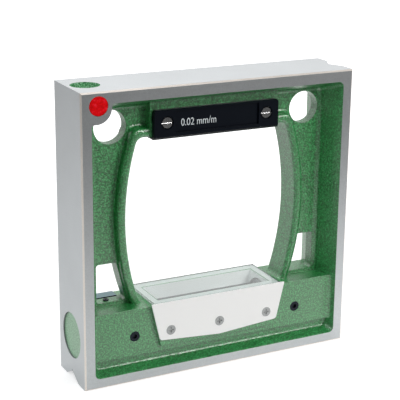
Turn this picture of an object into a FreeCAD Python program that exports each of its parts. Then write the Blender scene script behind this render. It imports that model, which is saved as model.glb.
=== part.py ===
import FreeCAD, Part
import math
import os

import Sketcher
from FreeCAD import Placement, Rotation, Vector

# Precision frame level, 300 x 300 mm, modelled in millimetres.
# X runs along the base, Y through the frame (the front is at -Y), Z up.
# The origin is the middle of the underside. The front of the frame is the side
# with the cover plate and the red seal.

doc = FreeCAD.newDocument("FrameLevel")

# ---------------------------------------------------------------- dimensions
DIMENSIONS = {
    # frame
    "frame_size": 300,          # width and height over the ground faces
    "frame_depth": 70,
    "rim_side": 11,             # width of the ground rim, left and right
    "rim_top": 12.2,
    "rim_bottom": 10.4,
    "rim_corner_radius": 6,
    "edge_chamfer": 1.6,
    "corner_chamfer": 0.6,
    "draft_angle": 19.6,        # of every cast pocket wall
    "web_thickness": 12,
    "web_fillet": 5,
    "vee_width": 32,            # mouth of the vee grooves in the base and right face
    "vee_depth": 8.2,
    "relief_width": 1.6,        # slot at the bottom of each vee
    "relief_depth": 1.4,
    # vial housing across the bottom of the frame
    "housing_bottom": 24.6,
    "housing_top": 74.5,
    "housing_depth": 54.6,
    "plinth_depth": 44.6,       # the set-back wall under the housing
    "housing_end": 138,
    "housing_fillet": 5,
    "plinth_fillet": 3,
    "plinth_foot": 12,
    # central window and the rib round it
    "window_half_width": 96.4,
    "window_top": 246,
    "window_side_radius": 270,
    "window_middle": 162,
    "window_corner_radius": 8,
    "window_foot_radius": 5,
    "rib_half_width": 106,
    "rib_top": 255.5,
    "rib_side_radius": 260,
    "rib_middle": 163,
    "rib_depth": 32,
    "rib_foot": 66,
    "rib_corner_radius": 9,
    "rib_edge_radius": 3.9,
    "rib_foot_fillet": 3,
    # openings in the web
    "web_hole_radius": 17,
    "web_hole_offset": 109,
    "web_hole_height": 258,
    "side_opening_outer": 125.5,
    "side_opening_inner_top": 103.5,
    "side_opening_inner_bottom": 94.5,
    "side_opening_bottom": 78,
    "side_opening_top": 119,
    "side_opening_radius": 3,
    "side_opening_clip": 2,
    # handle boss, corner boss and the cast recess in the top face
    "boss_half_width": 71.5,
    "boss_bottom": 246,
    "boss_depth": 34,
    "corner_boss_offset": 134,
    "corner_boss_height": 284.2,
    "corner_boss_radius": 15.6,
    "corner_boss_fillet": 3,
    "top_recess_radius": 14.6,
    "top_recess_offset": 131.5,
    "top_recess_depth": 8,
    # pads for the cover plate, on both sides of the housing
    "pad_thickness": 3.5,
    "pad_half_width_top": 75.9,
    "pad_half_width_bottom": 65.9,
    "pad_bottom": 31,
    # bore for the vial holder
    "bore_radius": 23,
    "bore_height": 47,
    "bore_end": 112,
    "plug_radius": 23.6,
    "plug_seat_depth": 8.5,
    "plug_recess": 1.6,
    "plug_thickness": 6.9,
    # opening over the vials
    "cavity_half_length": 64,
    "cavity_half_width": 19.5,
    "cavity_radius": 4,
    # cover glass and its gasket
    "glass_half_length": 73,
    "glass_thickness": 3,
    "glass_gap": 0.2,
    "glass_rear": 29.8,
    "glass_edge_chamfer": 0.4,
    "gasket_thickness": 0.5,
    "gasket_inset": 0.6,
    "gasket_inner_half_length": 65.5,
    "gasket_inner_half_width": 21,
    # cover plate
    "plate_thickness": 1.5,
    "plate_top": 77.8,
    "plate_half_width_top": 76.7,
    "plate_half_width_bottom": 67.4,
    "plate_corner_height": 38.2,
    "plate_middle_height": 33.2,
    "plate_corner_radius": 3.5,
    "plate_screw_spacing": 55.4,
    "plate_screw_height": 47.5,
    "plate_screw_head_radius": 5.2,
    "plate_screw_radius": 2,
    "plate_screw_length": 7,
    # handle grips
    "grip_half_width": 69.5,
    "grip_top": 273.6,
    "grip_bottom": 244,
    "grip_face": 22.5,
    "grip_seam": 0.15,
    "grip_corner_radius": 3.5,
    "grip_edge_chamfer": 2.4,
    "grip_small_chamfer": 0.7,
    "grip_gap": 0.1,
    "grip_panel_half_width": 46.5,
    "grip_panel_top": 271.4,
    "grip_panel_bottom": 249.6,
    "grip_panel_depth": 2,
    "grip_screw_spacing": 55.3,
    "grip_screw_height": 260.4,
    "grip_screw_head_radius": 5.4,
    "grip_screw_head_height": 2.8,
    "grip_screw_radius": 2.5,
    "grip_screw_length": 14,
    "grip_counterbore_radius": 6.6,
    "grip_counterbore_depth": 3.3,
    "slot_width": 1.2,
    "slot_depth": 1.3,
    # red seal in the corner boss
    "red_seal_offset": 131.8,
    "red_seal_height": 286.3,
    "red_seal_radius": 9.6,
    "red_seal_depth": 2.6,
    "red_seal_dome": 0,
    "red_seal_edge_radius": 0.8,
    # vial holder
    "holder_radius": 21,
    "holder_inner_radius": 18,
    "holder_left": 118.5,
    "holder_right": 99,
    "holder_window_half_length": 66,
    "holder_window_height": 9,
    "pivot_offset": 93.2,
    "pivot_ring_radius": 22.94,
    "pivot_ring_half_length": 5,
    "bed_half_length": 70,
    "bed_level": 5.5,
    # main vial
    "vial_left": 60,
    "vial_right": 30,
    "vial_radius": 10,
    "vial_inner_radius": 8.4,
    "vial_axis_rise": 3,
    "vial_seal_length": 4,
    "bubble_length": 34,
    "bubble_height": 2.4,
    "bubble_travel": 20,
    # cross vial
    "cross_offset": 48,
    "cross_half_length": 15,
    "cross_radius": 6,
    "cross_inner_radius": 4.8,
    "cross_axis_rise": 6,
    "cross_seal_length": 2.5,
    "cross_bubble_length": 8,
    "cross_bubble_height": 1.8,
    "cross_bubble_travel": 7,
    "bubble_gap": 0.3,
    # lock screws, adjusting screw and spring
    "lock_height": 45.4,
    "lock_tip_left": 21.15,
    "lock_tip_right": 23.05,
    "lock_radius": 5.4,
    "lock_socket_radius": 2.9,
    "lock_sink": 0.4,
    "adjust_offset": 113,
    "adjust_radius": 3,
    "adjust_proud": 1.2,
    "adjust_gap": 0.15,
    "adjust_socket_radius": 1.6,
    "socket_depth": 2.4,
    "thread_gap": 0.05,
    # steel strip on the housing top, behind the adjusting screw
    "strip_left": 125,
    "strip_right": 95.5,
    "strip_front": 13.5,
    "strip_rear": 26,
    "strip_thickness": 1.5,
    "spring_radius": 3.4,
    "spring_wire": 0.55,
    "spring_turns": 4.5,
    "spring_pocket_radius": 4.6,
    "spring_pocket_depth": 7,
}

class Size:
    """A number together with the sheet expression that it comes from."""

    def __init__(self, value, text=None):
        self.value = float(value)
        self.text = text if text is not None else str(value)

    def combine(self, sign, other, value):
        return Size(value, f"({self.text} {sign} {other.text})")

    def __add__(self, other):
        other = as_size(other)
        return self.combine("+", other, self.value + other.value)

    def __sub__(self, other):
        other = as_size(other)
        return self.combine("-", other, self.value - other.value)

    def __mul__(self, other):
        other = as_size(other)
        return self.combine("*", other, self.value * other.value)

    def __truediv__(self, other):
        other = as_size(other)
        return self.combine("/", other, self.value / other.value)

    def __radd__(self, other):
        return as_size(other) + self

    def __rsub__(self, other):
        return as_size(other) - self

    def __rmul__(self, other):
        return as_size(other) * self

    def __neg__(self):
        return Size(-self.value, f"(0 - {self.text})")

    def __float__(self):
        return self.value


def as_size(item):
    return item if isinstance(item, Size) else Size(item)


class Sizes:
    """The sheet's aliases as attributes."""

    def __getattr__(self, alias):
        return Size(DIMENSIONS[alias], f"Dimensions.{alias}")


d = Sizes()

sheet = doc.addObject("Spreadsheet::Sheet", "Dimensions")
for row, (alias, value) in enumerate(DIMENSIONS.items(), start=1):
    sheet.set(f"A{row}", alias)
    sheet.set(f"B{row}", str(value))
    sheet.setAlias(f"B{row}", alias)
doc.recompute()


def bind(item, **sizes):
    """Ties properties of an object to the sheet."""
    for name, size in sizes.items():
        item.setExpression(name, as_size(size).text)
    return item


def place(item, x, y, z, axis=None, angle=0):
    """Puts an object at a point, turned about an axis first."""
    if axis is not None:
        item.Placement = Placement(Vector(0, 0, 0), Rotation(axis, angle))
    for name, size in (("x", x), ("y", y), ("z", z)):
        item.setExpression("Placement.Base." + name, as_size(size).text)
    return item


# ---------------------------------------------------------------- sketches
def origin_plane(body, role):
    return next(item for item in body.Origin.OriginFeatures if item.Role == role)


def new_sketch(body, name, role, offset=0):
    """A sketch parallel to an origin plane; offset runs along the plane's normal."""
    sketch = body.newObject("Sketcher::SketchObject", name)
    sketch.AttachmentSupport = [(origin_plane(body, role), "")]
    sketch.MapMode = "FlatFace"
    sketch.setExpression("AttachmentOffset.Base.z", as_size(offset).text)
    return sketch


def fix_distance(sketch, kind, geometry, end, size):
    size = as_size(size)
    axis = {"DistanceX": -2, "DistanceY": -1}[kind]
    if abs(size.value) < 1e-9:
        sketch.addConstraint(Sketcher.Constraint("PointOnObject", geometry, end, axis))
        return
    if size.value > 0:
        rule = Sketcher.Constraint(kind, -1, 1, geometry, end, size.value)
    else:
        size = -size
        rule = Sketcher.Constraint(kind, geometry, end, -1, 1, size.value)
    index = sketch.addConstraint(rule)
    sketch.setExpression(f"Constraints[{index}]", size.text)


def fix_point(sketch, geometry, end, x, y):
    fix_distance(sketch, "DistanceX", geometry, end, x)
    fix_distance(sketch, "DistanceY", geometry, end, y)


def add_polygon(sketch, *points):
    """Closed outline of straight lines."""
    places = [Vector(float(x), float(y), 0) for x, y in points]
    first = sketch.GeometryCount
    count = len(places)
    for index in range(count):
        line = Part.LineSegment(places[index], places[(index + 1) % count])
        sketch.addGeometry(line, False)
    for index in range(count):
        following = first + (index + 1) % count
        sketch.addConstraint(Sketcher.Constraint("Coincident", first + index, 2, following, 1))
        fix_point(sketch, first + index, 1, *points[index])


def add_rectangle(sketch, left, bottom, right, top):
    add_polygon(sketch, (left, bottom), (right, bottom), (right, top), (left, top))


def add_circle(sketch, x, y, radius):
    circle = Part.Circle(Vector(float(x), float(y), 0), Vector(0, 0, 1), float(radius))
    geometry = sketch.addGeometry(circle, False)
    index = sketch.addConstraint(Sketcher.Constraint("Radius", geometry, float(radius)))
    sketch.setExpression(f"Constraints[{index}]", radius.text)
    fix_point(sketch, geometry, 3, x, y)


def add_barrel(sketch, half_width, radius, middle, bottom, top):
    """Outline with level top and bottom and two sides that bulge outwards."""
    centre = float(half_width) - float(radius)
    size = float(radius)
    low, high, level = float(bottom), float(top), float(middle)
    low_angle = math.asin((low - level) / size)
    high_angle = math.asin((high - level) / size)
    right_circle = Part.Circle(Vector(centre, level, 0), Vector(0, 0, 1), size)
    left_circle = Part.Circle(Vector(-centre, level, 0), Vector(0, 0, 1), size)
    low_x = centre + size * math.cos(low_angle)
    high_x = centre + size * math.cos(high_angle)
    right = sketch.addGeometry(Part.ArcOfCircle(right_circle, low_angle, high_angle), False)
    roof_line = Part.LineSegment(Vector(high_x, high, 0), Vector(-high_x, high, 0))
    roof = sketch.addGeometry(roof_line, False)
    left_arc = Part.ArcOfCircle(left_circle, math.pi - high_angle, math.pi - low_angle)
    left = sketch.addGeometry(left_arc, False)
    floor_line = Part.LineSegment(Vector(-low_x, low, 0), Vector(low_x, low, 0))
    floor = sketch.addGeometry(floor_line, False)
    for one, other in ((right, roof), (roof, left), (left, floor), (floor, right)):
        sketch.addConstraint(Sketcher.Constraint("Coincident", one, 2, other, 1))
    for arc, offset in ((right, half_width - radius), (left, radius - half_width)):
        index = sketch.addConstraint(Sketcher.Constraint("Radius", arc, size))
        sketch.setExpression(f"Constraints[{index}]", radius.text)
        fix_point(sketch, arc, 3, offset, middle)
    sketch.addConstraint(Sketcher.Constraint("Horizontal", roof))
    sketch.addConstraint(Sketcher.Constraint("Horizontal", floor))
    fix_distance(sketch, "DistanceY", roof, 1, top)
    fix_distance(sketch, "DistanceY", floor, 1, bottom)


# ---------------------------------------------------------------- features
def new_body(label):
    body = doc.addObject("PartDesign::Body", label)
    body.Label = label
    return body


def volume(body):
    return body.Shape.Volume if body.Shape.Solids else 0.0


def finish_feature(body, feature, before, grows):
    """Recomputes a feature and makes sure that it did what it is for."""
    doc.recompute()
    if not feature.isValid() or not feature.Shape.isValid():
        raise RuntimeError(f"{feature.Name} failed")
    if (volume(body) > before) != grows:
        raise RuntimeError(f"{feature.Name} changed the solid the wrong way")
    return feature


def extrude(body, kind, sketch, length, reverse, taper, grows):
    before = volume(body)
    feature = body.newObject("PartDesign::" + kind, sketch.Name + kind)
    feature.Profile = sketch
    feature.Reversed = reverse
    bind(feature, Length=length, TaperAngle=taper)
    sketch.Visibility = False
    return finish_feature(body, feature, before, grows)


def pad(body, sketch, length, reverse=False, taper=0):
    return extrude(body, "Pad", sketch, length, reverse, taper, True)


def pocket(body, sketch, length, reverse=False, taper=0):
    return extrude(body, "Pocket", sketch, length, reverse, taper, False)


def mirror(body, original, role, grows):
    """Repeats a feature on the other side of an origin plane."""
    before = volume(body)
    feature = body.newObject("PartDesign::Mirrored", original.Name + "Mirror")
    feature.Originals = [original]
    feature.MirrorPlane = (origin_plane(body, role), [""])
    body.Tip = feature
    return finish_feature(body, feature, before, grows)


def dress(body, kind, size, count, test):
    """Fillets or chamfers the edges of the tip that pass a test."""
    base = body.Tip
    edges = base.Shape.Edges
    names = [f"Edge{index}" for index, edge in enumerate(edges, start=1) if test(edge)]
    if len(names) != count:
        raise RuntimeError(f"{kind} {size.text} found {len(names)} edges")
    feature = body.newObject("PartDesign::" + kind, f"{kind}{len(body.Group)}")
    feature.Base = (base, names)
    bind(feature, **{"Radius" if kind == "Fillet" else "Size": size})
    doc.recompute()
    if not feature.isValid() or not feature.Shape.isValid():
        raise RuntimeError(f"{kind} {size.text} failed")
    return feature


def runs_along(edge, direction):
    """True for a straight edge parallel to a direction."""
    if not isinstance(edge.Curve, Part.Line):
        return False
    return abs(abs(edge.Curve.Direction.dot(direction)) - 1) < 1e-6


def middle_of(edge):
    return edge.valueAt((edge.FirstParameter + edge.LastParameter) / 2)


def in_depth(edge, depth):
    """True for an edge that lies at a distance in front of or behind the middle."""
    return all(abs(abs(point.y) - float(depth)) < 1e-4 for point in
               [vertex.Point for vertex in edge.Vertexes] + [middle_of(edge)])


def near(value, size):
    return abs(value - float(size)) < 1e-3


AXIS_X = Vector(1, 0, 0)
AXIS_Y = Vector(0, 1, 0)
AXIS_Z = Vector(0, 0, 1)
half_size = d.frame_size / 2
half_depth = d.frame_depth / 2
half_web = d.web_thickness / 2

# ---------------------------------------------------------------- frame casting
frame = new_body("frame")

block = new_sketch(frame, "Block", "XZ_Plane", half_depth)
add_rectangle(block, -half_size, 0, half_size, d.frame_size)
pad(frame, block, d.frame_depth, reverse=True)

# Cast pockets on both sides, with drafted walls, down to the web.
recess_side = half_size - d.rim_side
recess = new_sketch(frame, "Recess", "XZ_Plane", half_depth)
add_rectangle(recess, -recess_side, d.rim_bottom, recess_side, d.frame_size - d.rim_top)
recess_cut = pocket(frame, recess, half_depth - half_web, taper=-d.draft_angle)
mirror(frame, recess_cut, "XZ_Plane", False)


def recess_corner(edge):
    ends = [abs(vertex.Point.y) for vertex in edge.Vertexes]
    return near(max(ends), half_depth) and near(min(ends), half_web)


dress(frame, "Fillet", d.rim_corner_radius, 8, recess_corner)
dress(frame, "Fillet", d.web_fillet, 16, lambda edge: in_depth(edge, half_web))

# Rib round the central window; its sides are bowed outwards.
half_rib = d.rib_depth / 2
rib = new_sketch(frame, "Rib", "XZ_Plane", half_rib)
add_barrel(rib, d.rib_half_width, d.rib_side_radius, d.rib_middle, d.rib_foot, d.rib_top)
pad(frame, rib, d.rib_depth, reverse=True)
window = new_sketch(frame, "Window", "XZ_Plane", half_rib)
add_barrel(window, d.window_half_width, d.window_side_radius, d.window_middle,
           d.housing_top, d.window_top)
pocket(frame, window, d.rib_depth)
dress(frame, "Fillet", d.window_corner_radius, 2,
      lambda edge: runs_along(edge, AXIS_Y) and near(edge.Vertexes[0].Z, d.window_top))
dress(frame, "Fillet", d.window_foot_radius, 2,
      lambda edge: runs_along(edge, AXIS_Y) and near(edge.Vertexes[0].Z, d.housing_top))
dress(frame, "Fillet", d.rib_corner_radius, 4,
      lambda edge: runs_along(edge, AXIS_Y) and near(edge.Vertexes[0].Z, d.rib_top))
dress(frame, "Fillet", d.rib_edge_radius, 26,
      lambda edge: in_depth(edge, half_rib) and middle_of(edge).z > float(d.rib_foot) + 1)


def rib_foot(edge):
    middle = middle_of(edge)
    if not in_depth(edge, half_web):
        return False
    inside = abs(middle.x) < float(d.rib_half_width) + 1
    return inside and float(d.rib_foot) + 1 < middle.z < float(d.rib_top) + 1


dress(frame, "Fillet", d.rib_foot_fillet, 10, rib_foot)

# Openings in the web: two round ones above, two four-sided ones below.
web_openings = new_sketch(frame, "WebOpenings", "XZ_Plane", half_web + 1)
for side in (-1, 1):
    add_circle(web_openings, side * d.web_hole_offset, d.web_hole_height, d.web_hole_radius)
    add_polygon(web_openings,
                (side * (d.side_opening_inner_bottom + d.side_opening_clip), d.side_opening_bottom),
                (side * d.side_opening_outer, d.side_opening_bottom),
                (side * d.side_opening_outer, d.side_opening_top),
                (side * (d.side_opening_inner_top + d.side_opening_clip), d.side_opening_top),
                (side * d.side_opening_inner_top, d.side_opening_top - d.side_opening_clip),
                (side * d.side_opening_inner_bottom, d.side_opening_bottom + d.side_opening_clip))
pocket(frame, web_openings, d.web_thickness + 2)


def opening_corner(edge):
    return runs_along(edge, AXIS_Y) and near(abs(edge.Vertexes[0].X), d.side_opening_outer)


dress(frame, "Fillet", d.side_opening_radius, 4, opening_corner)

# Vial housing across the bottom, with a set-back plinth under it.
housing = new_sketch(frame, "Housing", "YZ_Plane", -d.housing_end)
half_housing = d.housing_depth / 2
half_plinth = d.plinth_depth / 2
add_polygon(housing,
            (-half_plinth, d.plinth_foot), (half_plinth, d.plinth_foot),
            (half_plinth, d.housing_bottom), (half_housing, d.housing_bottom),
            (half_housing, d.housing_top), (-half_housing, d.housing_top),
            (-half_housing, d.housing_bottom), (-half_plinth, d.housing_bottom))
pad(frame, housing, d.housing_end * 2)


def housing_end_edge(edge):
    middle = middle_of(edge)
    upright = near(abs(middle.y), half_housing) and abs(middle.x) > float(recess_side) - 4
    return upright and float(d.housing_bottom) + 5 < middle.z < float(d.housing_top) - 5


def plinth_foot_edge(edge):
    return in_depth(edge, half_plinth) and middle_of(edge).z < float(d.housing_bottom) - 0.5


dress(frame, "Fillet", d.housing_fillet, 4, housing_end_edge)
dress(frame, "Fillet", d.plinth_fillet, 10, plinth_foot_edge)

# Raised seats for the cover plate on both faces of the housing.
seat = new_sketch(frame, "PlateSeat", "XZ_Plane", half_housing)
add_polygon(seat,
            (-d.pad_half_width_bottom, d.pad_bottom), (d.pad_half_width_bottom, d.pad_bottom),
            (d.pad_half_width_top, d.housing_top), (-d.pad_half_width_top, d.housing_top))
seat_pad = pad(frame, seat, d.pad_thickness)
mirror(frame, seat_pad, "XZ_Plane", True)

# Boss for the handle grips, under the middle of the top wall.
half_boss = d.boss_depth / 2
boss = new_sketch(frame, "HandleBoss", "XZ_Plane", half_boss)
add_rectangle(boss, -d.boss_half_width, d.boss_bottom, d.boss_half_width, d.frame_size - d.rim_top)
pad(frame, boss, d.boss_depth, reverse=True)

# Round boss in the front left upper corner.
corner_boss = new_sketch(frame, "CornerBoss", "XZ_Plane", half_depth)
add_circle(corner_boss, -d.corner_boss_offset, d.corner_boss_height, d.corner_boss_radius)
pad(frame, corner_boss, half_depth - half_web, reverse=True)


def boss_root(edge):
    """An edge where the wall of the corner boss meets a cast pocket wall."""
    depths = [vertex.Point.y for vertex in edge.Vertexes]
    if max(depths) - min(depths) < 5 or max(depths) > 0:
        return False
    points = (edge.valueAt(edge.FirstParameter), middle_of(edge), edge.valueAt(edge.LastParameter))
    return all(abs(math.hypot(point.x + float(d.corner_boss_offset),
                              point.z - float(d.corner_boss_height))
                   - float(d.corner_boss_radius)) < 0.01 for point in points)


dress(frame, "Fillet", d.corner_boss_fillet, 3, boss_root)

# Broken edges of the ground faces, then the vees with their relief slots.


def outer_edge(edge):
    if not in_depth(edge, half_depth):
        return False
    middle = middle_of(edge)
    flat = near(abs(middle.x), half_size) or near(middle.z, 0) or near(middle.z, d.frame_size)
    return flat and isinstance(edge.Curve, Part.Line)


dress(frame, "Chamfer", d.edge_chamfer, 8, outer_edge)
slot_half = d.relief_width / 2
slot_start = d.vee_depth * (1 - d.relief_width / d.vee_width)
slot_end = d.vee_depth + d.relief_depth
mouth_half = d.vee_width - slot_half
base_vee = new_sketch(frame, "BaseVee", "YZ_Plane", -half_size - 1)
add_polygon(base_vee,
            (-mouth_half, -slot_start), (mouth_half, -slot_start),
            (slot_half, slot_start), (slot_half, slot_end),
            (-slot_half, slot_end), (-slot_half, slot_start))
pocket(frame, base_vee, d.frame_size + 2, reverse=True)
side_vee = new_sketch(frame, "SideVee", "XY_Plane", d.frame_size + 1)
add_polygon(side_vee,
            (half_size + slot_start, -mouth_half), (half_size + slot_start, mouth_half),
            (half_size - slot_start, slot_half), (half_size - slot_end, slot_half),
            (half_size - slot_end, -slot_half), (half_size - slot_start, -slot_half))
pocket(frame, side_vee, d.frame_size + 2)

# Blind round recess in the top face.
top_recess = new_sketch(frame, "TopRecess", "XY_Plane", d.frame_size)
add_circle(top_recess, -d.top_recess_offset, 0, d.top_recess_radius)
pocket(frame, top_recess, d.top_recess_depth)

# Bore for the vial holder, its counterbore, and the opening over the vials.
bore = new_sketch(frame, "Bore", "YZ_Plane", -half_size)
add_circle(bore, 0, d.bore_height, d.bore_radius)
pocket(frame, bore, half_size + d.bore_end, reverse=True)
plug_seat = new_sketch(frame, "PlugSeat", "YZ_Plane", -half_size)
add_circle(plug_seat, 0, d.bore_height, d.plug_radius)
pocket(frame, plug_seat, d.plug_seat_depth, reverse=True)
cavity = new_sketch(frame, "Cavity", "XY_Plane", d.housing_top)
add_rectangle(cavity, -d.cavity_half_length, -d.cavity_half_width,
              d.cavity_half_length, d.cavity_half_width)
pocket(frame, cavity, d.housing_top - d.bore_height)

# Threaded hole for the adjusting screw and the pocket for the spring.
adjust_hole = new_sketch(frame, "AdjustHole", "XY_Plane", d.side_opening_bottom)
add_circle(adjust_hole, -d.adjust_offset, 0, d.adjust_radius + d.thread_gap)
pocket(frame, adjust_hole, d.side_opening_bottom - d.bore_height)
spring_pocket = new_sketch(frame, "SpringPocket", "XY_Plane", d.bore_height)
add_circle(spring_pocket, -d.adjust_offset, 0, d.spring_pocket_radius)
spring_floor = d.bore_height - d.bore_radius - d.spring_pocket_depth
pocket(frame, spring_pocket, d.bore_height - spring_floor)

# Threaded holes for the lock screws, the cover plate and the grips.
lock_holes = new_sketch(frame, "LockHoles", "XZ_Plane", half_housing)
for side in (-1, 1):
    add_circle(lock_holes, side * d.pivot_offset, d.lock_height, d.lock_radius + d.thread_gap)
pocket(frame, lock_holes, half_housing)
plate_holes = new_sketch(frame, "PlateHoles", "XZ_Plane", half_housing + d.pad_thickness)
for side in (-1, 0, 1):
    add_circle(plate_holes, side * d.plate_screw_spacing, d.plate_screw_height,
               d.plate_screw_radius + d.thread_gap)
pocket(frame, plate_holes, d.plate_screw_length - d.plate_thickness + 0.4)
grip_holes = new_sketch(frame, "GripHoles", "XZ_Plane", half_boss)
for side in (-1, 1):
    add_circle(grip_holes, side * d.grip_screw_spacing, d.grip_screw_height,
               d.grip_screw_radius + d.thread_gap)
grip_hole_depth = d.grip_screw_length - (d.grip_face - d.grip_counterbore_depth - half_boss)
grip_hole_cut = pocket(frame, grip_holes, grip_hole_depth + 0.5)
mirror(frame, grip_hole_cut, "XZ_Plane", False)

# Seat of the red seal in the corner boss.
seal_seat = new_sketch(frame, "SealSeat", "XZ_Plane", half_depth)
add_circle(seal_seat, -d.red_seal_offset, d.red_seal_height, d.red_seal_radius + d.thread_gap)
pocket(frame, seal_seat, d.red_seal_depth)

# ---------------------------------------------------------------- plain solids
TO_X = (AXIS_Y, 90)
TO_Y = (AXIS_X, -90)


def cylinder(name, radius, height, x, y, z, turn=None):
    item = bind(doc.addObject("Part::Cylinder", name), Radius=radius, Height=height)
    return place(item, x, y, z, *(turn or ()))


def cone(name, radius_low, radius_high, height, x, y, z, turn=None):
    item = doc.addObject("Part::Cone", name)
    bind(item, Radius1=radius_low, Radius2=radius_high, Height=height)
    return place(item, x, y, z, *(turn or ()))


def hexagon(name, radius, height, x, y, z, turn=None):
    item = bind(doc.addObject("Part::Prism", name), Circumradius=radius, Height=height)
    item.Polygon = 6
    return place(item, x, y, z, *(turn or ()))


def box(name, low, high):
    """A box between two corners."""
    item = doc.addObject("Part::Box", name)
    bind(item, Length=high[0] - low[0], Width=high[1] - low[1], Height=high[2] - low[2])
    return place(item, *low)


def fuse(name, *items):
    result = doc.addObject("Part::MultiFuse", name)
    result.Shapes = list(items)
    return result


def cut(name, base, tool):
    result = doc.addObject("Part::Cut", name)
    result.Base = base
    result.Tool = tool
    return result


def common(name, *items):
    result = doc.addObject("Part::MultiCommon", name)
    result.Shapes = list(items)
    return result


# ---------------------------------------------------------------- handle grips
grip_floor = d.grip_face - d.grip_counterbore_depth


def make_grip(label, turn):
    """A moulded shell: a face on the boss and a lip that reaches in under it."""
    body = new_body(label)
    outline = new_sketch(body, label + "Outline", "XZ_Plane", d.grip_face)
    add_rectangle(outline, -d.grip_half_width, d.grip_bottom, d.grip_half_width, d.grip_top)
    pad(body, outline, d.grip_face - d.grip_seam, reverse=True)
    back = half_boss + d.grip_gap
    inside = new_sketch(body, label + "Inside", "XZ_Plane", back)
    add_rectangle(inside, -d.grip_half_width - 1, d.boss_bottom - d.grip_gap,
                  d.grip_half_width + 1, d.grip_top + 1)
    pocket(body, inside, back)
    dress(body, "Fillet", d.grip_corner_radius, 2,
          lambda edge: runs_along(edge, AXIS_Y) and near(edge.Vertexes[0].Z, d.grip_top))
    dress(body, "Chamfer", d.grip_edge_chamfer, 1,
          lambda edge: in_depth(edge, d.grip_face) and near(middle_of(edge).z, d.grip_bottom))
    dress(body, "Chamfer", d.grip_small_chamfer, 5,
          lambda edge: in_depth(edge, d.grip_face) and middle_of(edge).z > float(d.grip_bottom) + 4)
    panel = new_sketch(body, label + "Panel", "XZ_Plane", d.grip_face)
    add_rectangle(panel, -d.grip_panel_half_width, d.grip_panel_bottom,
                  d.grip_panel_half_width, d.grip_panel_top)
    pocket(body, panel, d.grip_panel_depth)
    for name, radius, depth in (
            ("Counterbore", d.grip_counterbore_radius, d.grip_counterbore_depth),
            ("Hole", d.grip_screw_radius + 0.2, d.grip_face)):
        holes = new_sketch(body, label + name, "XZ_Plane", d.grip_face)
        for side in (-1, 1):
            add_circle(holes, side * d.grip_screw_spacing, d.grip_screw_height, radius)
        pocket(body, holes, depth)
    body.Placement = Placement(Vector(0, 0, 0), Rotation(AXIS_Z, turn))
    return body


grip_front = make_grip("grip_front", 0)
grip_rear = make_grip("grip_rear", 180)

grip_screw_set = []
for face in (-1, 1):
    for side in (-1, 1):
        tag = f"{'Front' if face < 0 else 'Rear'}{'Left' if side < 0 else 'Right'}"
        x = side * d.grip_screw_spacing
        z = d.grip_screw_height
        head_top = grip_floor + d.grip_screw_head_height
        tip = grip_floor - d.grip_screw_length
        head_start = -head_top if face < 0 else grip_floor
        shank_start = -grip_floor if face < 0 else tip
        head = cylinder("GripHead" + tag, d.grip_screw_head_radius, d.grip_screw_head_height,
                        x, head_start, z, TO_Y)
        shank = cylinder("GripShank" + tag, d.grip_screw_radius, d.grip_screw_length,
                         x, shank_start, z, TO_Y)
        whole = fuse("GripScrew" + tag, head, shank)
        reach = d.grip_screw_head_radius + 1
        slot_y = -head_top if face < 0 else head_top - d.slot_depth
        slot_box = box("GripSlot" + tag, (x - reach, slot_y, z - d.slot_width / 2),
                       (x + reach, slot_y + d.slot_depth, z + d.slot_width / 2))
        grip_screw_set.append(cut("SlottedScrew" + tag, whole, slot_box))
grip_screws = fuse("grip_screws", *grip_screw_set)

# ---------------------------------------------------------------- cover plate
seat_face = half_housing + d.pad_thickness
plate_face = seat_face + d.plate_thickness
plate = new_body("PlateBlank")
plate_outline = new_sketch(plate, "PlateOutline", "XZ_Plane", seat_face)
add_polygon(plate_outline,
            (-d.plate_half_width_bottom, d.plate_corner_height), (0, d.plate_middle_height),
            (d.plate_half_width_bottom, d.plate_corner_height),
            (d.plate_half_width_top, d.plate_top), (-d.plate_half_width_top, d.plate_top))
pad(plate, plate_outline, d.plate_thickness)
dress(plate, "Fillet", d.plate_corner_radius, 2,
      lambda edge: runs_along(edge, AXIS_Y) and near(edge.Vertexes[0].Z, d.plate_corner_height))
plate_neck = d.plate_screw_head_radius - d.plate_thickness
plate_cones = []
plate_screw_set = []
for side, tag in ((-1, "Left"), (0, "Middle"), (1, "Right")):
    x = side * d.plate_screw_spacing
    z = d.plate_screw_height
    play = d.thread_gap
    plate_cones.append(cone("PlateSink" + tag, d.plate_screw_head_radius + play, plate_neck + play,
                            d.plate_thickness, x, -plate_face, z, TO_Y))
    head = cone("PlateHead" + tag, d.plate_screw_head_radius, plate_neck,
                d.plate_thickness, x, -plate_face, z, TO_Y)
    shank = cylinder("PlateShank" + tag, d.plate_screw_radius, d.plate_screw_length,
                     x, -plate_face, z, TO_Y)
    whole = fuse("PlateScrew" + tag, head, shank)
    arm = d.plate_screw_head_radius * 0.55
    thin = d.slot_width / 2 * 0.9
    cross = fuse("PlateCross" + tag,
                 box("CrossLevel" + tag, (x - arm, -plate_face, z - thin),
                     (x + arm, d.slot_depth - plate_face, z + thin)),
                 box("CrossUpright" + tag, (x - thin, -plate_face, z - arm),
                     (x + thin, d.slot_depth - plate_face, z + arm)))
    plate_screw_set.append(cut("CrossScrew" + tag, whole, cross))
front_plate = cut("front_plate", plate, fuse("PlateSinks", *plate_cones))
plate_screws = fuse("plate_screws", *plate_screw_set)

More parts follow.
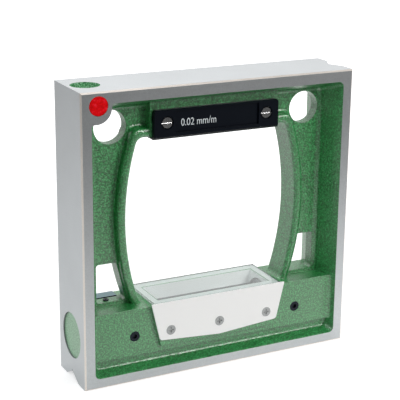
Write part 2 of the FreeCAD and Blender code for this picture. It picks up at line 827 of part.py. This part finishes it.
# ---------------------------------------------------------------- cover glass
glass_bottom = d.housing_top + d.gasket_thickness
cover_glass = new_body("cover_glass")
glass_outline = new_sketch(cover_glass, "GlassOutline", "XY_Plane", glass_bottom)
add_rectangle(glass_outline, -d.glass_half_length, d.glass_gap - seat_face,
              d.glass_half_length, d.glass_rear)
pad(cover_glass, glass_outline, d.glass_thickness)
dress(cover_glass, "Chamfer", d.glass_edge_chamfer, 4,
      lambda edge: near(middle_of(edge).z, glass_bottom + d.glass_thickness))
glass_gasket = new_body("glass_gasket")
gasket_outline = new_sketch(glass_gasket, "GasketOutline", "XY_Plane", d.housing_top)
add_rectangle(gasket_outline, d.gasket_inset - d.glass_half_length,
              d.glass_gap + d.gasket_inset - seat_face,
              d.glass_half_length - d.gasket_inset, d.glass_rear - d.gasket_inset)
add_rectangle(gasket_outline, -d.gasket_inner_half_length, -d.gasket_inner_half_width,
              d.gasket_inner_half_length, d.gasket_inner_half_width)
pad(glass_gasket, gasket_outline, d.gasket_thickness)

# ---------------------------------------------------------------- plugs
bore_plug = cylinder("bore_plug", d.plug_radius - d.thread_gap, d.plug_thickness,
                     d.plug_recess - half_size, 0, d.bore_height, TO_X)
red_seal = new_body("red_seal")
seal_outline = new_sketch(red_seal, "SealOutline", "XZ_Plane", half_depth - d.red_seal_depth)
add_circle(seal_outline, -d.red_seal_offset, d.red_seal_height, d.red_seal_radius)
pad(red_seal, seal_outline, d.red_seal_depth + d.red_seal_dome)
dress(red_seal, "Fillet", d.red_seal_edge_radius, 1,
      lambda edge: in_depth(edge, half_depth + d.red_seal_dome))

# ---------------------------------------------------------------- vial holder
axis_z = d.bore_height
long_cut = d.holder_left + d.holder_right + 2
holder_tube = cylinder("HolderTube", d.holder_radius, d.holder_left + d.holder_right,
                       -d.holder_left, 0, axis_z, TO_X)
holder_inside = cylinder("HolderInside", d.holder_inner_radius, long_cut,
                         -d.holder_left - 1, 0, axis_z, TO_X)
holder_window = box("HolderWindow",
                    (-d.holder_window_half_length, -d.holder_radius - 1,
                     axis_z + d.holder_window_height),
                    (d.holder_window_half_length, d.holder_radius + 1,
                     axis_z + d.holder_radius + 1))
vial_holder = cut("vial_holder", holder_tube, fuse("HolderCuts", holder_inside, holder_window))

ring_start = d.pivot_offset - d.pivot_ring_half_length
pivot_ring = cut("pivot_ring",
                 cylinder("RingOutside", d.pivot_ring_radius, d.pivot_ring_half_length * 2,
                          ring_start, 0, axis_z, TO_X),
                 cylinder("RingInside", d.holder_radius + d.thread_gap,
                          d.pivot_ring_half_length * 2 + 2, ring_start - 1, 0, axis_z, TO_X))

main_z = axis_z + d.vial_axis_rise
cross_z = axis_z + d.cross_axis_rise
play = d.thread_gap
bed_round = cylinder("BedRound", d.holder_inner_radius - play, d.bed_half_length * 2,
                     -d.bed_half_length, 0, axis_z, TO_X)
bed_block = box("BedBlock", (-d.bed_half_length - 1, -d.holder_radius, axis_z - d.holder_radius),
                (d.bed_half_length + 1, d.holder_radius, axis_z + d.bed_level))
main_trough = cylinder("MainTrough", d.vial_radius + play, d.vial_left + d.vial_right + 2,
                       -d.vial_left - 1, 0, main_z, TO_X)
cross_trough = cylinder("CrossTrough", d.cross_radius + play, d.holder_radius * 2,
                        d.cross_offset, -d.holder_radius, cross_z, TO_Y)
vial_bed = cut("vial_bed", common("BedSolid", bed_round, bed_block),
               fuse("BedTroughs", main_trough, cross_trough))

# Main vial along the frame, cross vial through it.
main_length = d.vial_left + d.vial_right
main_vial = cut("main_vial",
                cylinder("MainGlass", d.vial_radius, main_length, -d.vial_left, 0, main_z, TO_X),
                cylinder("MainBore", d.vial_inner_radius, main_length + 2,
                         -d.vial_left - 1, 0, main_z, TO_X))
cross_vial = cut("cross_vial",
                 cylinder("CrossGlass", d.cross_radius, d.cross_half_length * 2,
                          d.cross_offset, -d.cross_half_length, cross_z, TO_Y),
                 cylinder("CrossBore", d.cross_inner_radius, d.cross_half_length * 2 + 2,
                          d.cross_offset, -d.cross_half_length - 1, cross_z, TO_Y))
cross_seal_radius = d.cross_inner_radius - play
vial_seals = fuse(
    "vial_seals",
    cylinder("MainSealLeft", d.vial_inner_radius - play, d.vial_seal_length,
             -d.vial_left, 0, main_z, TO_X),
    cylinder("MainSealRight", d.vial_inner_radius - play, d.vial_seal_length,
             d.vial_right - d.vial_seal_length, 0, main_z, TO_X),
    cylinder("CrossSealFront", cross_seal_radius, d.cross_seal_length,
             d.cross_offset, -d.cross_half_length, cross_z, TO_Y),
    cylinder("CrossSealRear", cross_seal_radius, d.cross_seal_length,
             d.cross_offset, d.cross_half_length - d.cross_seal_length, cross_z, TO_Y))

# Liquid with an air space along its top, in which the bubble runs.
main_air = main_z + d.vial_inner_radius - d.bubble_height
main_liquid = cut(
    "main_liquid",
    cylinder("MainFill", d.vial_inner_radius - play,
             main_length - d.vial_seal_length * 2 - play * 2,
             d.vial_seal_length - d.vial_left + play, 0, main_z, TO_X),
    box("MainAirSpace", (-d.vial_left, -d.vial_radius, main_air - d.bubble_gap),
        (d.vial_right, d.vial_radius, main_z + d.vial_radius)))
main_middle = (d.vial_right - d.vial_left) / 2
main_bubble = common(
    "main_bubble",
    cylinder("MainBubbleRound", d.vial_inner_radius - d.bubble_gap, d.bubble_length,
             main_middle - d.bubble_length / 2, 0, main_z, TO_X),
    box("MainBubbleBlock", (-d.vial_left, -d.vial_radius, main_air),
        (d.vial_right, d.vial_radius, main_z + d.vial_radius)))
cross_air = cross_z + d.cross_inner_radius - d.cross_bubble_height
cross_inner = d.cross_half_length - d.cross_seal_length - play
cross_liquid = cut(
    "cross_liquid",
    cylinder("CrossFill", cross_seal_radius, cross_inner * 2,
             d.cross_offset, -cross_inner, cross_z, TO_Y),
    box("CrossAirSpace",
        (d.cross_offset - d.cross_radius, -d.cross_half_length, cross_air - d.bubble_gap),
        (d.cross_offset + d.cross_radius, d.cross_half_length, cross_z + d.cross_radius)))
cross_bubble = common(
    "cross_bubble",
    cylinder("CrossBubbleRound", d.cross_inner_radius - d.bubble_gap, d.cross_bubble_length,
             d.cross_offset, -d.cross_bubble_length / 2, cross_z, TO_Y),
    box("CrossBubbleBlock",
        (d.cross_offset - d.cross_radius, -d.cross_half_length, cross_air),
        (d.cross_offset + d.cross_radius, d.cross_half_length, cross_z + d.cross_radius)))

# ---------------------------------------------------------------- setting screws
lock_outer = half_housing - d.lock_sink
lock_set = []
for side, tag, tip in ((-1, "Left", d.lock_tip_left), (1, "Right", d.lock_tip_right)):
    x = side * d.pivot_offset
    lock_set.append(cut(
        "Lock" + tag,
        cylinder("LockThread" + tag, d.lock_radius, lock_outer - tip,
                 x, -lock_outer, d.lock_height, TO_Y),
        hexagon("LockSocket" + tag, d.lock_socket_radius, d.socket_depth,
                x, -lock_outer, d.lock_height, TO_Y)))
lock_screws = fuse("lock_screws", *lock_set)

holder_crown = axis_z + d.holder_radius
adjust_top = d.side_opening_bottom + d.adjust_proud
adjusting_screw = cut(
    "adjusting_screw",
    cylinder("AdjustThread", d.adjust_radius, adjust_top - holder_crown - d.adjust_gap,
             -d.adjust_offset, 0, holder_crown + d.adjust_gap),
    hexagon("AdjustSocket", d.adjust_socket_radius, d.socket_depth,
            -d.adjust_offset, 0, adjust_top - d.socket_depth))

adjuster_strip = box("adjuster_strip",
                     (-d.strip_left, d.strip_front, d.housing_top),
                     (-d.strip_right, d.strip_rear, d.housing_top + d.strip_thickness))

holder_spring = new_body("holder_spring")
wire = new_sketch(holder_spring, "SpringWire", "XZ_Plane")
add_circle(wire, d.spring_radius, 0, d.spring_wire)
coil = holder_spring.newObject("PartDesign::AdditiveHelix", "SpringCoil")
coil.Profile = wire
coil.ReferenceAxis = (wire, ["V_Axis"])
coil.Mode = 0
spring_room = axis_z - d.holder_radius - spring_floor
spring_rise = spring_room - d.spring_wire * 2 - play * 2
bind(coil, Pitch=spring_rise / d.spring_turns, Height=spring_rise)
wire.Visibility = False
place(holder_spring, -d.adjust_offset, 0, spring_floor + d.spring_wire + play)

# ---------------------------------------------------------------- export
doc.recompute()
NODES = (
    frame, grip_front, grip_rear, grip_screws, front_plate, plate_screws, cover_glass,
    glass_gasket, bore_plug, red_seal, vial_holder, pivot_ring, vial_bed, main_vial, cross_vial,
    vial_seals, main_liquid, main_bubble, cross_liquid, cross_bubble, lock_screws,
    adjusting_screw, adjuster_strip, holder_spring,
)
for item in doc.Objects:
    if "Invalid" in item.State or "Error" in item.State:
        raise RuntimeError(f"{item.Name} is {item.State}")
os.makedirs("parts", exist_ok=True)
for node in NODES:
    shape = node.Shape
    if shape.isNull() or not shape.isValid() or not shape.Solids:
        raise RuntimeError(f"{node.Label} has no valid solid")
    shape.exportStep(f"parts/{node.Label}.step")
    box_of = shape.BoundBox
    print(node.Label, len(shape.Solids), round(shape.Volume),
          [round(number, 2) for number in (box_of.XMin, box_of.XMax, box_of.YMin,
                                           box_of.YMax, box_of.ZMin, box_of.ZMax)])
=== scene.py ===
import math

import bpy
from mathutils import Matrix, Vector


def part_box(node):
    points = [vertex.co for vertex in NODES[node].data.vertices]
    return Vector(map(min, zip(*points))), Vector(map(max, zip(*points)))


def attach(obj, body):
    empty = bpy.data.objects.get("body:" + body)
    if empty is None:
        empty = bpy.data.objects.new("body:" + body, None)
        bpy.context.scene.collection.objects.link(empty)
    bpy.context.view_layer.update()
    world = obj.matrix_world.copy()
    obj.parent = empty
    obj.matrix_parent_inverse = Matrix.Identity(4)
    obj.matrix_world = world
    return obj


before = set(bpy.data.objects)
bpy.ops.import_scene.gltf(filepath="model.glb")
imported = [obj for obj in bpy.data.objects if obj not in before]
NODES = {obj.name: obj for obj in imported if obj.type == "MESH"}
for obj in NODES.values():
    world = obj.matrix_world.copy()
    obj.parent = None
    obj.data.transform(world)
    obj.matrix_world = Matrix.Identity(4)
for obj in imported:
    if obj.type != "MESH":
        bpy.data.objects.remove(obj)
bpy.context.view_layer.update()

MM = 0.001


# ---------------------------------------------------------------- materials
def linear(*channels):
    """Display colour, 0 to 255, as the linear colour that a shader takes."""
    out = []
    for channel in channels:
        value = channel / 255
        out.append(value / 12.92 if value <= 0.04045 else ((value + 0.055) / 1.055) ** 2.4)
    return (*out, 1.0)


class Material:
    """A node material on the Principled shader."""

    def __init__(self, name, colour, roughness, metallic=0.0, **inputs):
        self.data = bpy.data.materials.new(name)
        self.data.use_nodes = True
        self.tree = self.data.node_tree
        self.shader = self.tree.nodes["Principled BSDF"]
        self.set("Base Color", colour)
        self.set("Roughness", roughness)
        self.set("Metallic", metallic)
        for key, value in inputs.items():
            self.set(key.replace("_", " "), value)
        self.coords = self.node("ShaderNodeTexCoord").outputs["Object"]

    def set(self, key, value):
        self.shader.inputs[key].default_value = value

    def node(self, kind, inputs=None, **attributes):
        item = self.tree.nodes.new(kind)
        for key, value in attributes.items():
            setattr(item, key, value)
        for key, value in (inputs or {}).items():
            if isinstance(value, bpy.types.NodeSocket):
                self.tree.links.new(value, item.inputs[key])
            else:
                item.inputs[key].default_value = value
        return item

    def link(self, source, key):
        self.tree.links.new(source, self.shader.inputs[key])

    def math(self, operation, a, b=0.0, clamp=False):
        return self.node("ShaderNodeMath", {0: a, 1: b}, operation=operation,
                         use_clamp=clamp).outputs[0]

    def noise(self, scale, detail=2.0, roughness=0.5, stretch=(1, 1, 1)):
        place = self.node("ShaderNodeMapping", {"Vector": self.coords, "Scale": stretch})
        return self.node("ShaderNodeTexNoise", {
            "Vector": place.outputs[0], "Scale": scale, "Detail": detail,
            "Roughness": roughness}).outputs["Fac"]

    def ramp(self, source, *stops):
        item = self.node("ShaderNodeValToRGB", {"Fac": source})
        elements = item.color_ramp.elements
        while len(elements) < len(stops):
            elements.new(0.5)
        for element, (position, colour) in zip(elements, stops):
            element.position = position
            element.color = colour
        return item.outputs["Color"]

    def mix(self, factor, a, b, blend="MIX"):
        item = self.node("ShaderNodeMix", data_type="RGBA", blend_type=blend)
        for socket, value in ((item.inputs[0], factor), (item.inputs[6], a), (item.inputs[7], b)):
            if isinstance(value, bpy.types.NodeSocket):
                self.tree.links.new(value, socket)
            else:
                socket.default_value = value
        return item.outputs[2]

    def bump(self, height, strength, distance):
        item = self.node("ShaderNodeBump", {
            "Height": height, "Strength": strength, "Distance": distance})
        self.link(item.outputs["Normal"], "Normal")


    def pass_light(self):
        """Lets lamps and soft light through a clear piece, as real glass does."""
        rays = self.node("ShaderNodeLightPath")
        light = self.math("MAXIMUM", rays.outputs["Is Shadow Ray"], rays.outputs["Is Diffuse Ray"])
        clear = self.node("ShaderNodeBsdfTransparent")
        blend = self.node("ShaderNodeMixShader", {
            0: light, 1: self.shader.outputs["BSDF"], 2: clear.outputs["BSDF"]})
        self.tree.links.new(blend.outputs[0], self.tree.nodes["Material Output"].inputs["Surface"])


def grey(value):
    return (value, value, value, 1.0)


def largest(tree, *sockets):
    """Node that gives the largest of some values."""
    total = sockets[0]
    for socket in sockets[1:]:
        step = tree.nodes.new("ShaderNodeMath")
        step.operation = "MAXIMUM"
        tree.links.new(total, step.inputs[0])
        tree.links.new(socket, step.inputs[1])
        total = step.outputs[0]
    return total


def remap(tree, value, start, end, low_value, high_value):
    """Straight-line change from low_value at start to high_value at end."""
    item = tree.nodes.new("ShaderNodeMapRange")
    for key, number in (("From Min", start), ("From Max", end),
                        ("To Min", low_value), ("To Max", high_value)):
        item.inputs[key].default_value = number
    tree.links.new(value, item.inputs["Value"])
    return item.outputs[0]


def join(tree, factor, low_value, high_value):
    """low_value where factor is 0 and high_value where it is 1; both may be sockets."""
    item = tree.nodes.new("ShaderNodeMix")
    tree.links.new(factor, item.inputs[0])
    for socket, value in ((item.inputs[2], low_value), (item.inputs[3], high_value)):
        if isinstance(value, bpy.types.NodeSocket):
            tree.links.new(value, socket)
        else:
            socket.default_value = value
    return item.outputs[0]


def hammertone(name, dark, mid, light, roughness=0.32, index=2.2):
    """Granular hammered enamel with a soft sheen."""
    paint = Material(name, mid, roughness, IOR=index)
    grain = paint.noise(620, 2.5, 0.62)
    broad = paint.noise(26, 2.0, 0.5)
    colour = paint.ramp(grain, (0.38, dark), (0.5, mid), (0.63, light))
    tone = paint.ramp(broad, (0.3, grey(0.86)), (0.7, grey(1.0)))
    paint.link(paint.mix(1.0, colour, tone, "MULTIPLY"), "Base Color")
    cells = paint.node("ShaderNodeTexVoronoi", {"Vector": paint.coords, "Scale": 520},
                       feature="SMOOTH_F1").outputs["Distance"]
    round_edges = paint.node("ShaderNodeBevel", {"Radius": 0.9 * MM}, samples=4)
    bump = paint.node("ShaderNodeBump", {
        "Height": paint.math("ADD", cells, grain), "Strength": 0.55, "Distance": 0.0006,
        "Normal": round_edges.outputs["Normal"]})
    paint.link(bump.outputs["Normal"], "Normal")
    return paint


def ground(name, colour, roughness=0.4, metallic=0.75):
    """Iron ground flat, with a fine matt grain."""
    metal = Material(name, colour, roughness, metallic)
    fine = metal.noise(900, 3.0, 0.7)
    broad = metal.noise(14, 3.0, 0.55)
    spread = metal.ramp(fine, (0.3, grey(0.86)), (0.7, grey(1.0)))
    cloud = metal.ramp(broad, (0.3, grey(0.93)), (0.75, grey(1.0)))
    shade = metal.mix(1.0, spread, cloud, "MULTIPLY")
    metal.link(metal.mix(1.0, colour, shade, "MULTIPLY"), "Base Color")
    rough = metal.node("ShaderNodeMapRange", {"Value": fine, "To Min": roughness - 0.06,
                                              "To Max": roughness + 0.1})
    metal.link(rough.outputs[0], "Roughness")
    metal.bump(fine, 0.08, 0.0002)
    return metal


GREEN = hammertone("green_hammertone", linear(0, 84, 26), linear(14, 124, 52),
                   linear(70, 172, 100))
GROUND = ground("ground_iron", (0.60, 0.625, 0.64, 1), 0.34, 0.95)
# The warm cream on the broken edges is a painted highlight standing for edge glints.
EDGE = ground("edge_painted_glint", (0.86, 0.80, 0.74, 1), 0.3, 0.8)
BORE = ground("bored_iron", (0.30, 0.31, 0.32, 1), 0.5, 0.8)
WHITE_PAINT = Material("white_enamel", linear(236, 240, 240), 0.5)
RECESS = hammertone("recess_enamel", linear(40, 110, 62), linear(96, 160, 112),
                    linear(150, 205, 165), 0.22)


def give(node, *materials):
    """Replaces the material slots of a piece."""
    slots = NODES[node].data.materials if isinstance(node, str) else node.data.materials
    slots.clear()
    for material in materials:
        slots.append(material.data)


# ---------------------------------------------------------------- frame casting
low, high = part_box("frame")
HALF = high[0]
DEPTH = high[1]
TOP = high[2]
BORE_Z = 47 * MM
BORE_RADIUS = 23.7 * MM
CAVITY_TOP = 74.4 * MM
CAVITY_HALF = (64.2 * MM, 19.7 * MM)
RECESS_X = -131.5 * MM
RECESS_RADIUS = 14.7 * MM
RECESS_DEPTH = 9 * MM
BROKEN_EDGE = 1.7 * MM
VEE_HALF_WIDTH = 17 * MM
VEE_DEPTH = 10 * MM
SURFACE = 0.02 * MM


def frame_material(centre):
    """0 green paint, 1 ground face, 2 broken edge in a painted highlight, 3 bored metal, 4 white, 5
    top recess.
    """
    x, y, z = centre
    if math.hypot(x - RECESS_X, y) < RECESS_RADIUS and z < TOP - SURFACE and z > TOP - RECESS_DEPTH:
        return 5
    if abs(x) > HALF - SURFACE or z > TOP - SURFACE or z < SURFACE or abs(y) > DEPTH - SURFACE:
        return 1
    # Chamfers along the front and rear faces take the warm cream, a painted highlight.
    if abs(x) > HALF - BROKEN_EDGE or z > TOP - BROKEN_EDGE or z < BROKEN_EDGE:
        if abs(y) > DEPTH - BROKEN_EDGE:
            return 2
    if abs(y) < VEE_HALF_WIDTH and (z < VEE_DEPTH or x > HALF - VEE_DEPTH):
        return 1
    if math.hypot(y, z - BORE_Z) < BORE_RADIUS and abs(y) < BORE_RADIUS:
        return 3
    if abs(x) < CAVITY_HALF[0] and abs(y) < CAVITY_HALF[1] and BORE_Z < z < CAVITY_TOP:
        return 4
    return 0


casting = NODES["frame"]
give("frame", GREEN, GROUND, EDGE, BORE, WHITE_PAINT, RECESS)
for polygon in casting.data.polygons:
    polygon.material_index = frame_material(polygon.center)

# ---------------------------------------------------------------- other CAD pieces
# Black of the grip mouldings, also used as painted shade on the adjuster strip's front face.
BLACK = Material("black_moulding_and_shade", linear(4, 10, 20), 0.38, Specular_IOR_Level=0.15)
BLACK.bump(BLACK.noise(1500, 2.0), 0.15, 0.0001)
CHROME = Material("bright_screw", (0.82, 0.82, 0.83, 1), 0.18, 1.0)
CHROME.bump(CHROME.noise(700, 2.0, 0.5, (1, 1, 6)), 0.06, 0.0002)
PLATE = Material("satin_plate", linear(250, 250, 250), 0.42)
PLATE.bump(PLATE.noise(260, 3.0, 0.6, (0.15, 1, 4)), 0.04, 0.0002)
GLASS = Material("cover_glass", (0.93, 0.98, 0.975, 1), 0.02, Transmission_Weight=1.0, IOR=1.5)
CLEAR = Material("vial_glass", (0.96, 0.99, 0.98, 1), 0.02, Transmission_Weight=1.0, IOR=1.47)
LIQUID = Material("vial_liquid", (0.90, 0.97, 0.80, 1), 0.0, Transmission_Weight=1.0, IOR=1.36)
BUBBLE = Material("vial_bubble", (1, 1, 1, 1), 0.0, Transmission_Weight=1.0, IOR=1.02)
for clear_piece in (GLASS, CLEAR, LIQUID, BUBBLE):
    clear_piece.pass_light()
# Dark teal for the glass's far edges: the glass's green tint with painted shade.
GLASS_EDGE = Material("glass_edge_tint_and_shade", linear(14, 58, 52), 0.3)
GLASS_EDGE.link(GLASS_EDGE.ramp(GLASS_EDGE.noise(300, 2.0), (0.3, linear(8, 40, 38)),
                                (0.7, linear(24, 74, 66))), "Base Color")
SCREW = ground("plated_screw", (0.40, 0.41, 0.41, 1), 0.28, 1.0)
# Blue-grey for the top of the adjuster strip.
STRIP = ground("blue_grey_strip", linear(122, 150, 158), 0.4, 0.3)
GASKET = Material("pale_gasket", linear(214, 222, 220), 0.6)
GASKET.bump(GASKET.noise(900, 2.0), 0.1, 0.0002)
SEAL = Material("red_seal", linear(225, 4, 12), 0.32, Specular_IOR_Level=0.2)
SEAL_TONE = SEAL.ramp(SEAL.noise(240, 3.0, 0.6), (0.3, linear(190, 0, 8)),
                      (0.55, linear(228, 2, 12)), (0.75, linear(240, 60, 84)))
SEAL.link(SEAL_TONE, "Base Color")
SEAL.bump(SEAL.noise(260, 2.0), 0.5, 0.0008)
PLUG = hammertone("plug_enamel", linear(100, 150, 112), linear(132, 182, 142),
                  linear(160, 205, 168), 0.4)
STEEL = ground("turned_steel", (0.55, 0.56, 0.57, 1), 0.3, 1.0)
BRASS = ground("turned_brass", (0.78, 0.62, 0.34, 1), 0.3, 1.0)
PLASTER = Material("white_plaster", linear(238, 238, 234), 0.8)
PLASTER.bump(PLASTER.noise(400, 3.0), 0.3, 0.0004)
STOPPER = Material("vial_stopper", linear(226, 224, 214), 0.6)
STOPPER.bump(STOPPER.noise(500, 2.0), 0.2, 0.0003)
BLACKENED = Material("blackened_steel", linear(24, 30, 40), 0.35, 0.6)
BLACKENED.bump(BLACKENED.noise(900, 2.0), 0.1, 0.0002)
WIRE = ground("spring_wire", (0.5, 0.5, 0.52, 1), 0.3, 1.0)

for node, material in (
        ("grip_front", BLACK), ("grip_rear", BLACK), ("grip_screws", CHROME),
        ("front_plate", PLATE), ("plate_screws", SCREW),
        ("glass_gasket", GASKET), ("bore_plug", PLUG), ("red_seal", SEAL),
        ("vial_holder", STEEL), ("pivot_ring", BRASS), ("vial_bed", PLASTER),
        ("main_vial", CLEAR), ("cross_vial", CLEAR), ("vial_seals", STOPPER),
        ("main_liquid", LIQUID), ("cross_liquid", LIQUID), ("main_bubble", BUBBLE),
        ("cross_bubble", BUBBLE), ("lock_screws", BLACKENED),
        ("adjusting_screw", BLACKENED), ("holder_spring", WIRE)):
    give(node, material)

# The glass's rear and right edges are dark teal, its own green tint with painted shade; the strip's
# front face is black painted shade.
give("cover_glass", GLASS, GLASS_EDGE)
for polygon in NODES["cover_glass"].data.polygons:
    polygon.material_index = int(polygon.normal.y > 0.5 or polygon.normal.x > 0.5)
# The strip's front face takes the black as painted shade.
give("adjuster_strip", STRIP, BLACK)
for polygon in NODES["adjuster_strip"].data.polygons:
    polygon.material_index = int(polygon.normal.y < -0.5)

# ---------------------------------------------------------------- lettering on the grip
GRIP_LINE = 258.8 * MM
LETTER_START = -40 * MM
LETTER_HEIGHT = 10.5 * MM
LETTER_WIDTH = 0.82
wording = bpy.data.curves.new("grip_lettering", "FONT")
wording.body = "0.02 mm/m"
wording.size = LETTER_HEIGHT
wording.extrude = 0.03 * MM
wording.align_y = "CENTER"
writer = bpy.data.objects.new("grip_writer", wording)
bpy.context.scene.collection.objects.link(writer)
bpy.context.view_layer.update()
letters = bpy.data.meshes.new_from_object(writer)
bpy.data.objects.remove(writer)
panel = NODES["grip_front"].ray_cast(Vector((-0.02, -0.1, GRIP_LINE)), Vector((0, 1, 0)))[1]
letters.transform(Matrix.Translation((LETTER_START, panel.y - 0.04 * MM, GRIP_LINE))
                  @ Matrix.Rotation(math.radians(90), 4, "X")
                  @ Matrix.Diagonal((LETTER_WIDTH, 1, 1, 1)))
lettering = bpy.data.objects.new("grip_lettering", letters)
bpy.context.scene.collection.objects.link(lettering)
MARKING = Material("white_marking", linear(214, 222, 226), 0.5)
MARKING.link(MARKING.ramp(MARKING.noise(900, 2.0), (0.3, linear(190, 200, 206)),
                          (0.7, linear(230, 236, 238))), "Base Color")
give(lettering, MARKING)
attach(lettering, "frame_body")

# ---------------------------------------------------------------- floor and light
# White behind the object and darker in front of it, as in a studio with a lit backdrop.
FRONT_GLOSS = 0.10
AMBIENT = 0.40
NEAR_GLOW = 0.55
FLOOR_FAR = -0.80
FLOOR_NEAR = -0.10
FLOOR_HALF = 6
corners = [(x * FLOOR_HALF, y * FLOOR_HALF, 0) for x, y in ((-1, -1), (1, -1), (1, 1), (-1, 1))]
floor_mesh = bpy.data.meshes.new("floor")
floor_mesh.from_pydata(corners, [], [(0, 1, 2, 3)])
floor = bpy.data.objects.new("floor", floor_mesh)
bpy.context.scene.collection.objects.link(floor)
FLOOR = Material("pale_floor", grey(0.62), 0.9, Specular_IOR_Level=0.0)
FLOOR.set("Emission Color", grey(1.0))
place = FLOOR.node("ShaderNodeSeparateXYZ", {"Vector": FLOOR.coords})
reach = FLOOR.node("ShaderNodeVectorMath", {0: FLOOR.coords}, operation="LENGTH")
path = FLOOR.node("ShaderNodeLightPath")
seen = remap(FLOOR.tree, reach.outputs["Value"], 0.35, 1.1, NEAR_GLOW, 1.0)
along = remap(FLOOR.tree, place.outputs["Y"], FLOOR_FAR, FLOOR_NEAR, 0.0, 0.34)
across = remap(FLOOR.tree, place.outputs["X"], -0.25, 0.45, 0.7, 2.2)
mirrored = FLOOR.math("MULTIPLY", along, across)
other = largest(FLOOR.tree, path.outputs["Is Glossy Ray"], path.outputs["Is Transmission Ray"])
reflected = FLOOR.math("MULTIPLY", mirrored, other)
glow = join(FLOOR.tree, path.outputs["Is Camera Ray"], reflected, seen)
FLOOR.link(glow, "Emission Strength")
shade = remap(FLOOR.tree, place.outputs["Y"], FLOOR_FAR, FLOOR_NEAR, 0.05, 0.62)
FLOOR.link(shade, "Base Color")
give(floor, FLOOR)

world = bpy.data.worlds.new("studio")
bpy.context.scene.world = world
world.use_nodes = True
tree = world.node_tree
background = tree.nodes["Background"]
path = tree.nodes.new("ShaderNodeLightPath")
direction = tree.nodes.new("ShaderNodeTexCoord")
parts = tree.nodes.new("ShaderNodeSeparateXYZ")
tree.links.new(direction.outputs["Generated"], parts.inputs[0])
behind = remap(tree, parts.outputs["Y"], -0.35, 0.1, FRONT_GLOSS, 1.0)
studio = largest(tree, behind, remap(tree, parts.outputs["X"], 0.40, 0.70, 0.0, 1.0))
mirrored = join(tree, path.outputs["Is Glossy Ray"], AMBIENT, studio)
strength = join(tree, largest(tree, path.outputs["Is Camera Ray"],
                              path.outputs["Is Transmission Ray"]), mirrored, 1.0)
tree.links.new(strength, background.inputs["Strength"])
background.inputs["Color"].default_value = (1, 1, 1, 1)


def lamp(name, place, aim, size, power, colour=(1, 1, 1)):
    data = bpy.data.lights.new(name, "AREA")
    data.shape = "SQUARE"
    data.size = size
    data.energy = power
    data.color = colour
    item = bpy.data.objects.new(name, data)
    bpy.context.scene.collection.objects.link(item)
    item.location = place
    item.rotation_euler = (Vector(aim) - Vector(place)).to_track_quat("-Z", "Y").to_euler()
    item.visible_camera = False
    return item


CENTRE = (0, 0, 0.15)
lamp("key_front", (0.5, -0.95, 0.85), CENTRE, 0.5, 8.5, (1.0, 0.985, 0.96))
lamp("side_left", (-0.85, -0.1, 0.75), CENTRE, 0.5, 3.0, (0.94, 0.98, 1.0))
lamp("top", (0.1, 0.35, 1.3), CENTRE, 0.9, 9.0)

# ---------------------------------------------------------------- camera
camera_data = bpy.data.cameras.new("camera")
camera = bpy.data.objects.new("camera", camera_data)
bpy.context.scene.collection.objects.link(camera)
AZIMUTH = math.radians(-27.91)
ELEVATION = math.radians(16.25)
ROLL = math.radians(0.86)
DISTANCE = 1.2376
TARGET = Vector((0.01426, 0.0, 0.18469))
back = Vector((math.sin(AZIMUTH) * math.cos(ELEVATION),
               -math.cos(AZIMUTH) * math.cos(ELEVATION), math.sin(ELEVATION)))
level_right = (-back).cross(Vector((0, 0, 1))).normalized()
level_up = level_right.cross(-back)
right = math.cos(ROLL) * level_right + math.sin(ROLL) * level_up
up = -math.sin(ROLL) * level_right + math.cos(ROLL) * level_up
turn = Matrix((right, up, back)).transposed().to_4x4()
camera.matrix_world = Matrix.Translation(TARGET + back * DISTANCE) @ turn
camera_data.sensor_width = 36
camera_data.lens = 108.2
camera_data.shift_x = -0.048
camera_data.shift_y = -0.041
bpy.context.scene.camera = camera
bpy.context.scene.view_settings.view_transform = "Standard"
